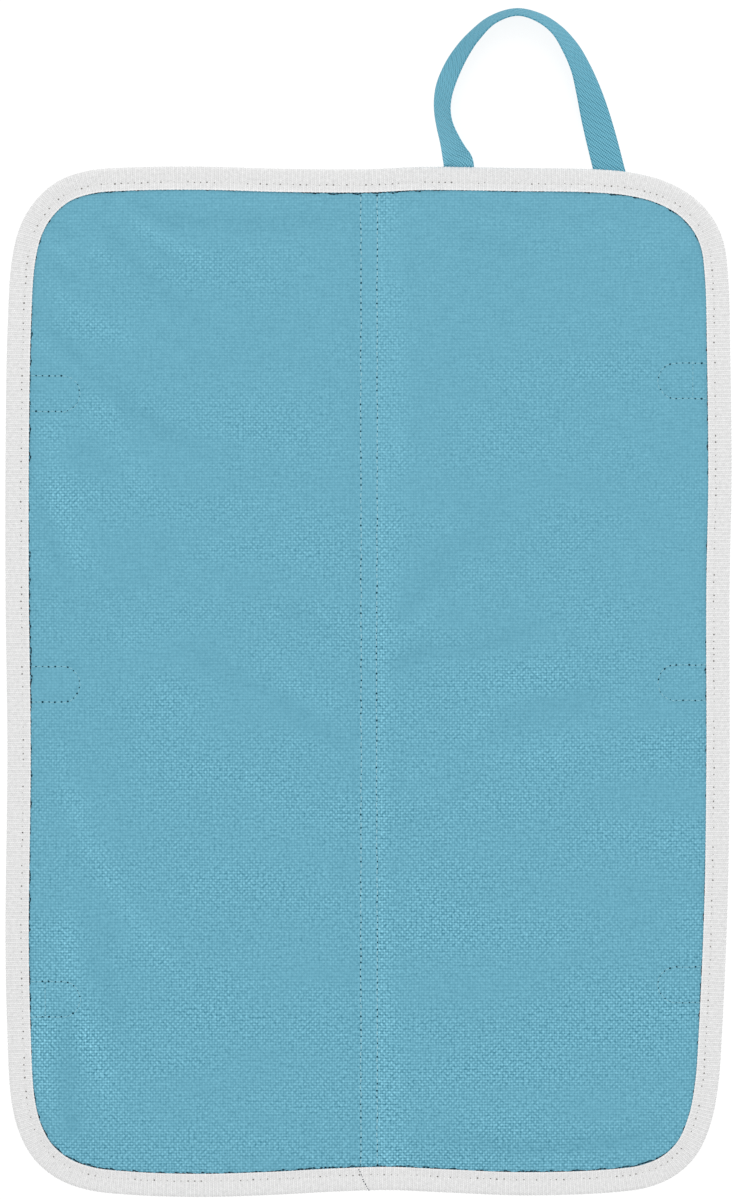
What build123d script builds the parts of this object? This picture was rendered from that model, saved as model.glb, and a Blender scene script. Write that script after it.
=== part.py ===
from build123d import *
import math
import os

# A folding changing pad, lying open with its plain face up. It is a cloth and foam sandwich in two
# padded halves, with a narrow unpadded spine between two rows of stitching where it folds like a
# book, a tape bound round the edge, magnets in stitched pockets along both free edges and a
# webbing loop at one end.
# Origin: centre of the whole footprint, on the surface the pad lies on. X runs across the fold,
# Y along it towards the loop, Z up. Heights named "half" are measured from the middle plane.

# Driving dimensions, mm
PAD_WIDTH = 450.0
PAD_LENGTH = 640.0
PAD_THICKNESS = 6.0
CORNER_RADIUS = 52.0
CLOTH = 0.5  # coated polyester cloth
TAPE = 0.6  # ribbed binding tape
TAPE_FACE = 14.5  # width of tape on each face
SEWN_FOAM = 1.2  # foam thickness where the binding squeezes it
RIM_WIDTH = 15.0  # flat sewn margin along the free edges
SLOPE_RUN = 9.0  # from the flat margin up to the full thickness
THREAD = 0.5  # thread diameter, and width of a row of stitching
THREAD_STANDS = 0.25  # how far a row of stitching stands above the tape
BINDING_ROW = 10.0  # the tape's stitching, in from the outer edge
FOLD_SPACING = 10.0  # between the two rows of fold stitching
HALF_GAP = 1.4  # from a fold row to the padded half beside it
SPINE_GAP = 0.4  # from a fold row to the spine beside it
FOLD_MARGIN = 4.0  # unpadded margin of each half beside its fold row

POCKET_RADIUS = 11.0  # rounded end of a stitched magnet pocket
POCKET_STRAIGHT = 10.3  # straight sides of the pocket, towards the edge
POCKET_INSET = 35.0  # centre of the rounded end, in from the outer edge
MAGNET_DIAMETER = 18.0
MAGNET_THICKNESS = 2.0
# Each pocket's place along the edge, from the pad's centre: the two edges don't quite match
POCKET_ROWS = {
    "right": {"top": 187.0, "middle": 0.0, "bottom": -187.0},
    "left": {"top": 179.0, "middle": -1.0, "bottom": -196.0},
}

STRAP_WIDTH = 19.0
STRAP_THICKNESS = 1.2
STRAP_FLOOR = 0.1  # the strap's lower edge above the surface
TAIL_LENGTH = 13.5  # strap sewn under the tape at each end
LOOP_HINGE = 1.5  # the line the loop swings about, out from the pad's edge
LOOP_GAP = 0.3  # between a tail's rounded end and the loop
LOOP_FEET = {"inner": 55.5, "outer": 148.8}  # across, from the fold's centre
# The loop's centre line from the inner foot to the outer one: across, out from the pad's edge, and
# the turn in degrees that stands the strap up on its outer edge as it comes round
LOOP_STATIONS = (
    (54.2, 8.0, 14.0),
    (50.8, 15.5, 34.0),
    (46.8, 27.0, 55.0),
    (45.2, 41.0, 57.0),
    (48.4, 57.5, 58.0),
    (58.6, 75.5, 63.0),
    (73.5, 88.6, 70.0),
    (91.0, 94.5, 73.0),
    (109.7, 88.7, 67.0),
    (124.2, 75.0, 53.0),
    (132.6, 59.5, 40.0),
    (138.4, 42.0, 27.0),
    (144.2, 21.0, 12.0),
)

# Worked-out places
MIDDLE = PAD_THICKNESS / 2
CLOTH_RIM = SEWN_FOAM / 2 + CLOTH
TAPE_RIM = CLOTH_RIM + TAPE
FOLD_X = FOLD_SPACING / 2
HALF_EDGE = FOLD_X + HALF_GAP
SPINE_WIDTH = FOLD_SPACING - 2 * SPINE_GAP
POCKET_X = PAD_WIDTH / 2 - POCKET_INSET
APEX_RISE = max(
    rise + STRAP_WIDTH / 2 * math.cos(math.radians(turn)) + STRAP_THICKNESS / 2
    for _, rise, turn in LOOP_STATIONS
)
PAD_Y = -APEX_RISE / 2  # the loop shifts the footprint's centre
LOOP_EDGE = PAD_Y + PAD_LENGTH / 2
SIDES = {"right": 1, "left": -1}

os.makedirs("parts", exist_ok=True)


def save(piece, name):
    """Labels a finished piece and writes it under the same name."""
    piece.label = name
    export_step(piece, f"parts/{name}.step")


def half_outline(side, inset, fold_edge):
    """Sketches one half of the pad, drawn in by inset along its three free edges."""
    width = PAD_WIDTH / 2 - inset - fold_edge
    with BuildSketch(mode=Mode.PRIVATE) as outline:
        with Locations((side * (fold_edge + width / 2), PAD_Y)):
            Rectangle(width, PAD_LENGTH - 2 * inset)
        corners = outline.vertices().group_by(Axis.X)[-1 if side > 0 else 0]
        fillet(corners, radius=CORNER_RADIUS - inset)
    return outline.sketch


def upper_layer(side, rim_half, crown_half, fold_edge):
    """Makes a layer above the middle plane: a flat sewn rim and a crown that slopes up from it."""
    with BuildPart() as layer:
        with BuildSketch(Plane.XY.offset(MIDDLE)):
            add(half_outline(side, TAPE, fold_edge))
        extrude(amount=rim_half)
        with BuildSketch(Plane.XY.offset(MIDDLE + rim_half)):
            add(half_outline(side, RIM_WIDTH, fold_edge))
        with BuildSketch(Plane.XY.offset(MIDDLE + crown_half)):
            add(half_outline(side, RIM_WIDTH + SLOPE_RUN, fold_edge + SLOPE_RUN))
        loft()
    return layer.part


def pocket_outline(side, row, grow=0.0):
    """Sketches a pocket: rounded towards the middle of the pad, square towards its edge."""
    half_height = POCKET_RADIUS + grow
    straight = POCKET_STRAIGHT + grow
    with BuildSketch(mode=Mode.PRIVATE) as pocket:
        with Locations((side * POCKET_X, PAD_Y + row)):
            Circle(half_height)
        with Locations((side * (POCKET_X + straight / 2), PAD_Y + row)):
            Rectangle(straight, 2 * half_height)
    return pocket.sketch


# The two padded halves
for half, side in SIDES.items():
    rows = POCKET_ROWS[half]
    shell = upper_layer(side, CLOTH_RIM, MIDDLE, HALF_EDGE)
    core = upper_layer(side, SEWN_FOAM / 2, MIDDLE - CLOTH, HALF_EDGE + FOLD_MARGIN)

    with BuildPart() as top_cover:
        add(shell)
        add(core, mode=Mode.SUBTRACT)
    save(top_cover.part, f"{half}_top_cover")

    with BuildPart() as bottom_cover:
        add(shell)
        add(core, mode=Mode.SUBTRACT)
        mirror(about=Plane.XY.offset(MIDDLE), mode=Mode.REPLACE)
    save(bottom_cover.part, f"{half}_bottom_cover")

    # One sheet of foam, squeezed thin under the binding, with a hole for each magnet pocket
    with BuildPart() as foam:
        add(core)
        mirror(about=Plane.XY.offset(MIDDLE))
        for row in rows.values():
            with BuildSketch():
                add(pocket_outline(side, row))
            extrude(amount=PAD_THICKNESS, mode=Mode.SUBTRACT)
    save(foam.part, f"{half}_foam")

    # Tape folded over the edge: a solid band with the slot for the sandwich cut out of it
    with BuildPart() as binding:
        with BuildSketch(Plane.XY.offset(MIDDLE - TAPE_RIM)):
            add(half_outline(side, 0, HALF_EDGE))
            add(half_outline(side, TAPE_FACE, HALF_EDGE), mode=Mode.SUBTRACT)
        extrude(amount=2 * TAPE_RIM)
        with BuildSketch(Plane.XY.offset(MIDDLE - CLOTH_RIM)):
            add(half_outline(side, TAPE, HALF_EDGE))
        extrude(amount=2 * CLOTH_RIM, mode=Mode.SUBTRACT)
    save(binding.part, f"{half}_binding")

    with BuildPart() as binding_row:
        with BuildSketch(Plane.XY.offset(MIDDLE + TAPE_RIM)):
            add(half_outline(side, BINDING_ROW - THREAD / 2, HALF_EDGE))
            add(half_outline(side, BINDING_ROW + THREAD / 2, HALF_EDGE), mode=Mode.SUBTRACT)
        extrude(amount=THREAD_STANDS)
    save(binding_row.part, f"{half}_binding_stitching")

    # The row of stitching that this half folds about
    with BuildPart() as fold_row:
        with BuildSketch(Plane.XZ.offset(-LOOP_EDGE + RIM_WIDTH)):
            with Locations((side * FOLD_X, MIDDLE)):
                Circle(THREAD / 2)
        extrude(amount=PAD_LENGTH - 2 * RIM_WIDTH)
    save(fold_row.part, f"{half}_fold_stitching")

    for place, row in rows.items():
        # The pocket's stitching draws the covers together round the magnet
        with BuildPart() as pocket_row:
            with BuildSketch(Plane.XY.offset(CLOTH)):
                add(pocket_outline(side, row))
                add(pocket_outline(side, row, grow=-THREAD), mode=Mode.SUBTRACT)
            extrude(amount=PAD_THICKNESS - 2 * CLOTH)
        save(pocket_row.part, f"{half}_pocket_stitching_{place}")

        with BuildPart() as magnet:
            with BuildSketch(Plane.XY.offset(CLOTH)):
                with Locations((side * POCKET_X, PAD_Y + row)):
                    Circle(MAGNET_DIAMETER / 2)
            extrude(amount=MAGNET_THICKNESS)
        save(magnet.part, f"{half}_magnet_{place}")

# The spine: the same two covers, face to face with no foam between the fold rows
for name, base in {"spine_top_strip": MIDDLE, "spine_bottom_strip": MIDDLE - CLOTH}.items():
    with BuildPart() as strip:
        with BuildSketch(Plane.XY.offset(base)):
            with Locations((0, PAD_Y)):
                Rectangle(SPINE_WIDTH, PAD_LENGTH - 2 * TAPE)
        extrude(amount=CLOTH)
    save(strip.part, name)

# The tape where it passes over each end of the spine
for name, end in {"spine_binding_top": 1, "spine_binding_bottom": -1}.items():
    edge = PAD_Y + end * PAD_LENGTH / 2
    with BuildPart() as spine_binding:
        with BuildSketch(Plane.XY.offset(MIDDLE - CLOTH - TAPE)):
            with Locations((0, edge - end * TAPE_FACE / 2)):
                Rectangle(SPINE_WIDTH, TAPE_FACE)
        extrude(amount=2 * (CLOTH + TAPE))
        with BuildSketch(Plane.XY.offset(MIDDLE - CLOTH)):
            with Locations((0, edge - end * (TAPE + TAPE_FACE / 2))):
                Rectangle(SPINE_WIDTH, TAPE_FACE)
        extrude(amount=2 * CLOTH, mode=Mode.SUBTRACT)
    save(spine_binding.part, name)

# The webbing's two tails, flat under the tape; each ends in a round the loop swings about
STRAP_MIDDLE = STRAP_FLOOR + STRAP_THICKNESS / 2
HINGE_Y = LOOP_EDGE + LOOP_HINGE
for foot, across in LOOP_FEET.items():
    with BuildPart() as tail:
        with BuildSketch(Plane.YZ.offset(across - STRAP_WIDTH / 2)):
            with Locations((HINGE_Y - (TAIL_LENGTH + LOOP_HINGE) / 2, STRAP_MIDDLE)):
                Rectangle(TAIL_LENGTH + LOOP_HINGE, STRAP_THICKNESS)
            with Locations((HINGE_Y, STRAP_MIDDLE)):
                Circle(STRAP_THICKNESS / 2)
        extrude(amount=STRAP_WIDTH)
    save(tail.part, f"handle_tail_{foot}")

# The loop: one length of webbing through a row of sections, turned as it comes round
start_rise = LOOP_HINGE + STRAP_THICKNESS / 2 + LOOP_GAP
stations = [
    (LOOP_FEET["inner"], start_rise, 0.0),
    *LOOP_STATIONS,
    (LOOP_FEET["outer"], start_rise, 0.0),
]
with BuildPart() as handle_loop:
    for i, (across, rise, turn) in enumerate(stations):
        before = stations[max(i - 1, 0)]
        after = stations[min(i + 1, len(stations) - 1)]
        along = Vector(after[0] - before[0], after[1] - before[1], 0).normalized()
        if i in (0, len(stations) - 1):
            along = Vector(0, 1 if i == 0 else -1, 0)
        lean = math.radians(turn)
        inward = along.cross(Vector(0, 0, 1))
        strap_width = inward * math.cos(lean) + Vector(0, 0, math.sin(lean))
        height = (
            STRAP_FLOOR
            + STRAP_WIDTH / 2 * math.sin(lean)
            + STRAP_THICKNESS / 2 * math.cos(lean)
        )
        centre = (across, LOOP_EDGE + rise, height)
        with BuildSketch(Plane(origin=centre, x_dir=strap_width, z_dir=along)):
            Rectangle(STRAP_WIDTH, STRAP_THICKNESS)
    loft()
save(handle_loop.part, "handle_loop")
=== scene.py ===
import math

import bmesh
import bpy
import numpy as np
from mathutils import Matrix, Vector, kdtree


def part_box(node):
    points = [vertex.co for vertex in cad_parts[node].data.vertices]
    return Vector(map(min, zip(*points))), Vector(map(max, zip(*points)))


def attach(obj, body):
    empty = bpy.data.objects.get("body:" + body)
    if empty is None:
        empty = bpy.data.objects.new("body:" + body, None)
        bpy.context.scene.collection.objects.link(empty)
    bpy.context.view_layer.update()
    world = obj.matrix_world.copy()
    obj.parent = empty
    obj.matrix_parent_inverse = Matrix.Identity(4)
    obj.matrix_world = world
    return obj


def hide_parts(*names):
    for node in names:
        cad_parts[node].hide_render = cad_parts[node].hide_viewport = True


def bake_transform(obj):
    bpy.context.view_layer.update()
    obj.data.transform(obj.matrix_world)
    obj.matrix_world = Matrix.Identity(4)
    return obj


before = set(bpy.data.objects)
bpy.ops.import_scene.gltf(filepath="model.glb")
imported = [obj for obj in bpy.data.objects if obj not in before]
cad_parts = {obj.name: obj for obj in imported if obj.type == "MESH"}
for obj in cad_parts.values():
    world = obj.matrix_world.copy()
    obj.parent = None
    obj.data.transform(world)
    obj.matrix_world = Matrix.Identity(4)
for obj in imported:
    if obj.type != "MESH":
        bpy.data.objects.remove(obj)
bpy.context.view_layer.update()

# The surface the pad lies on, and the light.
# A wide white table top lit from within, an even white sky, and one large soft lamp beyond
# the handle end, so that the cloth's relief shows without hard shadows.
TABLE_SIZE = 12.0
TABLE_DROP = 0.0002
TABLE_GREY = 0.23
TABLE_GLOW = 0.83
SKY_LIGHT = 0.895
LAMP_POWER = 100.0
LAMP_SIZE = 3.0
LAMP_PLACE = (0.5, 4.8, 5.2)

scene = bpy.context.scene
scene.view_settings.view_transform = "Standard"


def new_material(name):
    """An empty node material and its Principled shader."""
    made = bpy.data.materials.new(name)
    made.use_nodes = True
    nodes = made.node_tree.nodes
    nodes.clear()
    out = nodes.new("ShaderNodeOutputMaterial")
    shader = nodes.new("ShaderNodeBsdfPrincipled")
    made.node_tree.links.new(shader.outputs["BSDF"], out.inputs["Surface"])
    return made, shader


def maths(tree, operation, *values):
    """One Math node; each value is a number or another node's output."""
    node = tree.nodes.new("ShaderNodeMath")
    node.operation = operation
    for socket, value in zip(node.inputs, values):
        if isinstance(value, (int, float)):
            socket.default_value = value
        else:
            tree.links.new(value, socket)
    return node.outputs[0]


def mesh_object(name, vertices, faces, material):
    """A smooth-shaded mesh, linked into the scene, with its place in its own vertices."""
    mesh = bpy.data.meshes.new(name)
    mesh.from_pydata([tuple(v) for v in vertices], [], [tuple(f) for f in faces])
    mesh.polygons.foreach_set("use_smooth", [True] * len(mesh.polygons))
    mesh.materials.append(material)
    made = bpy.data.objects.new(name, mesh)
    scene.collection.objects.link(made)
    return made


table_white, shader = new_material("table_white")
shader.inputs["Roughness"].default_value = 0.9
shader.inputs["Specular IOR Level"].default_value = 0.1
shader.inputs["Base Color"].default_value = (TABLE_GREY, TABLE_GREY, TABLE_GREY, 1)
shader.inputs["Emission Color"].default_value = (1, 1, 1, 1)
shader.inputs["Emission Strength"].default_value = TABLE_GLOW
half = TABLE_SIZE / 2
corners = [(x, y, -TABLE_DROP) for x, y in ((-half, -half), (half, -half), (half, half), (-half, half))]
table = mesh_object("table", corners, [(0, 1, 2, 3)], table_white)

world = bpy.data.worlds.new("sky")
scene.world = world
world.use_nodes = True
sky = world.node_tree.nodes["Background"]
sky.inputs["Color"].default_value = (1, 1, 1, 1)
seen = world.node_tree.nodes.new("ShaderNodeLightPath").outputs["Is Camera Ray"]
strength = maths(world.node_tree, "MULTIPLY_ADD", seen, 1.0 - SKY_LIGHT, SKY_LIGHT)
world.node_tree.links.new(strength, sky.inputs["Strength"])

lamp = bpy.data.objects.new("lamp", bpy.data.lights.new("lamp", "AREA"))
lamp.data.energy = LAMP_POWER
lamp.data.size = LAMP_SIZE
lamp.location = LAMP_PLACE
lamp.rotation_euler = Vector(LAMP_PLACE).to_track_quat("Z", "Y").to_euler()
scene.collection.objects.link(lamp)

# The camera looks straight down from far above, so that nothing spreads in perspective.
LENS = 180.0
SENSOR = 36.0
VIEW_TALL = 0.744
VIEW_MIDDLE_Y = 0.0023
camera = bpy.data.objects.new("camera", bpy.data.cameras.new("camera"))
camera.data.lens = LENS
camera.data.sensor_width = SENSOR
camera.data.clip_end = 50
camera.location = (0, VIEW_MIDDLE_Y, VIEW_TALL * LENS / SENSOR)
scene.collection.objects.link(camera)
scene.camera = camera

# The cut shape of the pad.
# All the layers are cut to one outline, a long rectangle with round corners. Sewing draws it
# in a little at the fold and leans one long edge inwards. Points run clockwise from the fold's
# far end, in metres from the fold and from the middle of the pad's length.
low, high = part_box("right_binding")
PAD_Y = (low.y + high.y) / 2
MIDDLE = (low.z + high.z) / 2
OUTLINE = [
    (0.0, 0.3182), (0.032, 0.3196), (0.088, 0.3190), (0.142, 0.3180), (0.164, 0.3158),
    (0.183, 0.3108), (0.200, 0.3016), (0.2125, 0.2885), (0.2195, 0.2735), (0.2225, 0.252),
    (0.2238, 0.205), (0.2246, 0.125), (0.2234, 0.060), (0.2234, -0.050), (0.2222, -0.135),
    (0.2188, -0.215), (0.2165, -0.248), (0.2120, -0.272), (0.2032, -0.292), (0.1900, -0.305),
    (0.1730, -0.3125), (0.150, -0.3158), (0.097, -0.3176), (0.048, -0.3158), (0.012, -0.3143),
    (-0.020, -0.3152), (-0.062, -0.3174), (-0.105, -0.3186), (-0.148, -0.3172),
    (-0.174, -0.3142), (-0.193, -0.3072), (-0.2075, -0.295), (-0.2165, -0.279),
    (-0.2215, -0.259), (-0.2242, -0.212), (-0.2252, -0.155), (-0.2240, -0.045),
    (-0.2252, 0.060), (-0.2250, 0.160), (-0.2238, 0.222), (-0.2212, 0.262), (-0.2160, 0.283),
    (-0.2068, 0.2985), (-0.1925, 0.3108), (-0.174, 0.3172), (-0.150, 0.3192), (-0.105, 0.3198),
    (-0.052, 0.3184),
]
OUTLINE_STEP = 0.0015
LINE_DIVISIONS = 24


def smooth_line(points, step, closed):
    """Even steps along a smooth line through the points, by centripetal Catmull-Rom."""
    p = np.array(points, float)
    if closed:
        p = np.vstack([p[-1:], p, p[:2]])
    else:
        p = np.vstack([2 * p[:1] - p[1:2], p, 2 * p[-1:] - p[-2:-1]])
    fine = []
    for a, b, c, d in zip(p[:-3], p[1:-2], p[2:-1], p[3:]):
        gaps = [np.linalg.norm(v) ** 0.5 for v in (b - a, c - b, d - c)]
        t1, t2, t3 = np.cumsum(gaps)
        t = np.linspace(t1, t2, LINE_DIVISIONS, endpoint=False)[:, None]
        a1 = ((t1 - t) * a + t * b) / t1
        a2 = ((t2 - t) * b + (t - t1) * c) / (t2 - t1)
        a3 = ((t3 - t) * c + (t - t2) * d) / (t3 - t2)
        b1 = ((t2 - t) * a1 + t * a2) / t2
        b2 = ((t3 - t) * a2 + (t - t1) * a3) / (t3 - t1)
        fine.append(((t2 - t) * b1 + (t - t1) * b2) / (t2 - t1))
    fine = np.vstack(fine + [p[1:2] if closed else p[-2:-1]])
    run = np.concatenate([[0], np.cumsum(np.linalg.norm(np.diff(fine, axis=0), axis=1))])
    count = max(2, int(round(run[-1] / step)) + 1)
    even = np.linspace(0, run[-1], count)
    return np.column_stack([np.interp(even, run, fine[:, k]) for k in range(fine.shape[1])])


edge = smooth_line([(x, y + PAD_Y) for x, y in OUTLINE], OUTLINE_STEP, closed=True)[:-1]
edge_along = np.roll(edge, -1, axis=0) - np.roll(edge, 1, axis=0)
edge_along /= np.linalg.norm(edge_along, axis=1)[:, None]
edge_inward = np.column_stack([edge_along[:, 1], -edge_along[:, 0]])
edge_tree = kdtree.KDTree(len(edge))
for i, (x, y) in enumerate(edge):
    edge_tree.insert((x, y, 0), i)
edge_tree.balance()


def from_edge(x, y):
    """How far in from the cut edge each point lies, and the nearest place on the edge."""
    nearest = np.array([edge_tree.find((a, b, 0))[1] for a, b in zip(x, y)])
    offset = np.column_stack([x, y]) - edge[nearest]
    return (offset * edge_inward[nearest]).sum(1), nearest


# The padding: how high each face of cloth stands above the middle of the pad.
# Foam fills each half. It is squeezed under the tape, and left out between the two fold rows,
# so each face slopes up from the tape and from the fold to a flat crown.
TAPE_WIDTH = 0.0145
CROWN = MIDDLE
RIM = 0.0011
SEAM = 0.0009
SPINE_PUFF = 0.0003
EDGE_RUN = 0.034
FOLD_RUN = {1: 0.024, -1: 0.050}
low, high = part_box("right_fold_stitching")
FOLD_X = (low.x + high.x) / 2

# Soft ripples where sewing pulls the cloth: from, to, how wide, how high, and how much painted
# highlight they put in the cloth's colour, which is less than nothing for painted shade along a
# crease. Lengths are in millimetres.
RIPPLES = [
    (-146, 288, -104, 262, 5, 0.5, 1.7), (-168, 290, -108, 226, 6, -0.4, -1.4),
    (-208, 228, -112, 146, 6, -0.5, -1.6), (-131, 268, -112, 255, 3, -0.2, -1.1),
    (-150, 301, -114, 281, 5, -0.3, -1.3), (-172, 271, -159, 259, 5, 0.3, 1.1),
    (-197, 285, -184, 276, 4, -0.3, -1.4), (-196, 273, -185, 262, 4, 0.3, 1.2),
    (-199, 257, -183, 248, 4, -0.3, -1.3), (-202, 248, -146, 208, 6, 0.4, 1.1),
    (-206, 216, -166, 182, 5, 0.3, 1.3), (-170, 176, -136, 120, 8, 0.3, 1.0),
    (-198, 164, -174, 66, 9, 0.5, 1.5), (-205, 122, -187, 66, 5, -0.3, -1.1),
    (-184, 151, -158, 133, 7, -0.2, -0.6), (-192, -52, -121, -180, 7, 0.5, 1.5),
    (-190, -142, -158, -262, 7, 0.6, 2.1), (-200, -176, -199, -262, 7, 0.4, 1.8),
    (-182, -192, -182, -286, 7, -0.4, -1.7), (-169, -152, -148, -230, 8, -0.3, -0.8),
    (10, 9, 38, 22, 6, -0.5, -1.3), (28, 18, 106, 33, 7, -0.5, -1.1),
    (16, 38, 46, 76, 7, -0.5, -1.2), (44, 76, 82, 106, 10, -0.3, -0.6),
    (12, 28, 46, 50, 6, 0.4, 0.7), (50, -36, 82, -12, 7, 0.4, 0.8), (80, -12, 118, 3, 8, 0.4, 0.5),
    (70, -26, 146, -2, 9, -0.4, -0.9), (66, -48, 138, -33, 8, 0.4, 0.9),
    (22, -78, 52, -62, 4, 0.3, 0.7), (14, -96, 60, -58, 8, -0.3, -0.5),
    (-52, 48, -24, 28, 6, -0.4, -1.0), (-112, 22, -58, -8, 6, -0.4, -0.8),
    (-60, -8, -14, -40, 6, -0.5, -1.1), (-56, 3, -16, -12, 8, 0.4, 0.7),
    (54, 281, 98, 266, 6, -0.4, -1.0), (48, -283, 184, -278, 5, -0.5, -2.0),
    (-136, 290, -20, 289, 7, -0.5, -1.5), (196, 268, 208, 236, 8, -0.3, -1.0),
    (26, -124, 44, -136, 5, 0.2, 0.5), (-150, 40, -110, -30, 12, 0.3, 0.5),
    (60, 297, 190, 292, 5, -0.2, -0.9),
]


RIPPLE_BEND = 0.05
RIPPLE_FLAT = 0.3
RIPPLE_FADE = 0.22
SLOW_WAVES = ((31, 17, 0.12), (-23, 41, 0.1), (57, 29, 0.06), (-44, 71, 0.05))


def ripples(x, y, flip):
    """The sewn-in ripples of one face: their height in metres, and the painted highlight and shade they
    put in the colour.
    """
    height, painted_light_and_shade = np.zeros_like(x), np.zeros_like(x)
    for x0, y0, x1, y1, wide, tall, painted_light_weight in RIPPLES:
        ahead = np.array([flip * (x1 - x0), y1 - y0])
        long = math.hypot(*ahead)
        away = np.stack([x * 1000 - flip * x0, (y - PAD_Y) * 1000 - y0], -1)
        t = away @ ahead / long**2
        off = away @ np.array([-ahead[1], ahead[0]]) / long
        off += RIPPLE_BEND * long * np.sin(t * math.pi)
        beyond = np.maximum(0, np.abs(t - 0.5) - RIPPLE_FLAT)
        profile = np.exp(-((off / wide) ** 2)) * np.exp(-((beyond / RIPPLE_FADE) ** 2))
        height += tall / 1000 * profile
        painted_light_and_shade += painted_light_weight * profile
    for k, (fx, fy, tall) in enumerate(SLOW_WAVES):
        height += tall / 1000 * np.sin(fx * x * flip + fy * y + 1.7 * k)
    return height, painted_light_and_shade


# Each pocket holds a disc magnet: a row of stitching round it presses the cloth down.
low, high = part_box("right_magnet_top")
POCKET_RADIUS = 0.011
MAGNET_HOLDS_OUT = (high.x - low.x) / 2 + 0.0004
MAGNET_SLOPE = 0.3
pockets = {}
for half_name, side in (("right", 1), ("left", -1)):
    for place in ("top", "middle", "bottom"):
        low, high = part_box(f"{half_name}_magnet_{place}")
        pockets[half_name, place] = ((low.x + high.x) / 2, (low.y + high.y) / 2, side)


def from_pocket_row(x, y):
    """How far each point lies from the nearest row of pocket stitching."""
    nearest = np.full(np.shape(x), 1.0)
    for px, py, side in pockets.values():
        ahead = (x - px) * side
        beside = np.where(ahead > 0, np.abs(y - py), np.hypot(x - px, y - py))
        nearest = np.minimum(nearest, np.abs(beside - POCKET_RADIUS) + (np.abs(x - px) > 0.03))
    return nearest


def padding(x, y):
    """How full the padding is at each point, from 0 at the sewn lines to 1 on the crown."""
    inset, _ = from_edge(x, y)
    run = np.where(x > 0, FOLD_RUN[1], FOLD_RUN[-1])
    at_edge = np.sin(np.clip((inset - TAPE_WIDTH) / EDGE_RUN, 0, 1) * math.pi / 2)
    at_fold = np.sin(np.clip((np.abs(x) - FOLD_X) / run, 0, 1) * math.pi / 2)
    return inset, at_edge, at_fold


# The cloth is cut a little full. A cloth simulation of each face, held along the tape, the fold
# row and the pocket rows, lets the spare cloth buckle between them as it does on the real pad.
SETTLE_STEP = 0.005
SETTLE_FRAMES = 20
SPARE_CLOTH = 0.003
STARTING_DIMPLE = 0.0003
MOST_MOVED = 0.0005
SOFTLY_CAPPED = 0.0015
CLOTH_REACH = 0.008
HELD_PAST_TAPE = 0.002
HELD_PAST_FOLD = 0.003
HELD_BY_POCKET = 0.0026
lattice_x = np.arange(-46, 47) * SETTLE_STEP
lattice_y = PAD_Y + np.arange(-65, 66) * SETTLE_STEP


def grid_cells(index, cells):
    """The corners of the chosen cells of a grid of numbered points."""
    return np.stack([index[:-1, :-1], index[:-1, 1:], index[1:, 1:], index[1:, :-1]], -1)[cells]


def settle(side, up):
    """Runs the cloth of one face and returns how far it rose or sank, on the lattice."""
    gx, gy = np.meshgrid(lattice_x, lattice_y)
    inset, _ = from_edge(gx.ravel(), gy.ravel())
    inset = inset.reshape(gx.shape)
    keep = (inset > CLOTH_REACH) & (gx * side > FOLD_X - SETTLE_STEP)
    cells = keep[:-1, :-1] & keep[1:, :-1] & keep[:-1, 1:] & keep[1:, 1:]
    quads = grid_cells(np.arange(gx.size).reshape(gx.shape), cells)
    used = np.unique(quads)
    renumber = np.zeros(gx.size, int)
    renumber[used] = np.arange(len(used))
    x, y = gx.ravel()[used], gy.ravel()[used]
    start = np.column_stack([x, y, STARTING_DIMPLE * np.sin(x * 90 * up) * np.cos(y * 70 + x * 40)])
    mesh = bpy.data.meshes.new("settling")
    mesh.from_pydata(start.tolist(), [], renumber[quads].tolist())
    cloth = bpy.data.objects.new("settling", mesh)
    scene.collection.objects.link(cloth)
    held = inset.ravel()[used] < TAPE_WIDTH + HELD_PAST_TAPE
    held |= np.abs(x) < FOLD_X + HELD_PAST_FOLD
    held |= from_pocket_row(x, y) < HELD_BY_POCKET
    cloth.vertex_groups.new(name="sewn").add([int(i) for i in np.nonzero(held)[0]], 1.0, "REPLACE")
    run = cloth.modifiers.new("run", "CLOTH")
    run.settings.quality = 6
    run.settings.mass = 0.15
    run.settings.tension_stiffness = 15
    run.settings.compression_stiffness = 15
    run.settings.shear_stiffness = 5
    run.settings.bending_stiffness = 2.0
    run.settings.vertex_group_mass = "sewn"
    run.settings.shrink_min = -SPARE_CLOTH
    run.settings.effector_weights.gravity = 0.0
    run.point_cache.frame_start = 1
    run.point_cache.frame_end = SETTLE_FRAMES
    for frame_number in range(1, SETTLE_FRAMES + 1):
        scene.frame_set(frame_number)
    done = cloth.evaluated_get(bpy.context.evaluated_depsgraph_get()).data
    end = np.empty(len(start) * 3, np.float32)
    done.vertices.foreach_get("co", end)
    moved = np.zeros(gx.size)
    moved[used] = MOST_MOVED * np.tanh(end.reshape(-1, 3)[:, 2] / SOFTLY_CAPPED)
    bpy.data.objects.remove(cloth)
    scene.frame_set(1)
    return moved.reshape(gx.shape)


settled = {}
for up in (1, -1):
    settled[up] = np.zeros((len(lattice_y), len(lattice_x)))
    for side in (1, -1):
        settled[up] += settle(side, up)


def between(field, x, y):
    """A smooth value of a lattice field at each point, by cubic B-splines."""
    u, v = (x - lattice_x[0]) / SETTLE_STEP, (y - lattice_y[0]) / SETTLE_STEP
    i, j = np.floor(u).astype(int), np.floor(v).astype(int)
    total = np.zeros_like(u)
    spans = []
    for f in (u - i, v - j):
        spans.append([
            (1 - f) ** 3 / 6, (3 * f**3 - 6 * f**2 + 4) / 6,
            (-3 * f**3 + 3 * f**2 + 3 * f + 1) / 6, f**3 / 6,
        ])
    for a in range(4):
        for b in range(4):
            rows = np.clip(j + b - 1, 0, field.shape[0] - 1)
            columns = np.clip(i + a - 1, 0, field.shape[1] - 1)
            total += spans[0][a] * spans[1][b] * field[rows, columns]
    return total


PUFF_RUN = 0.01
GROOVE_WIDTH = 0.0021
GROOVE_DEPTH = {1: 0.0007, -1: 0.0005}


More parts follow.
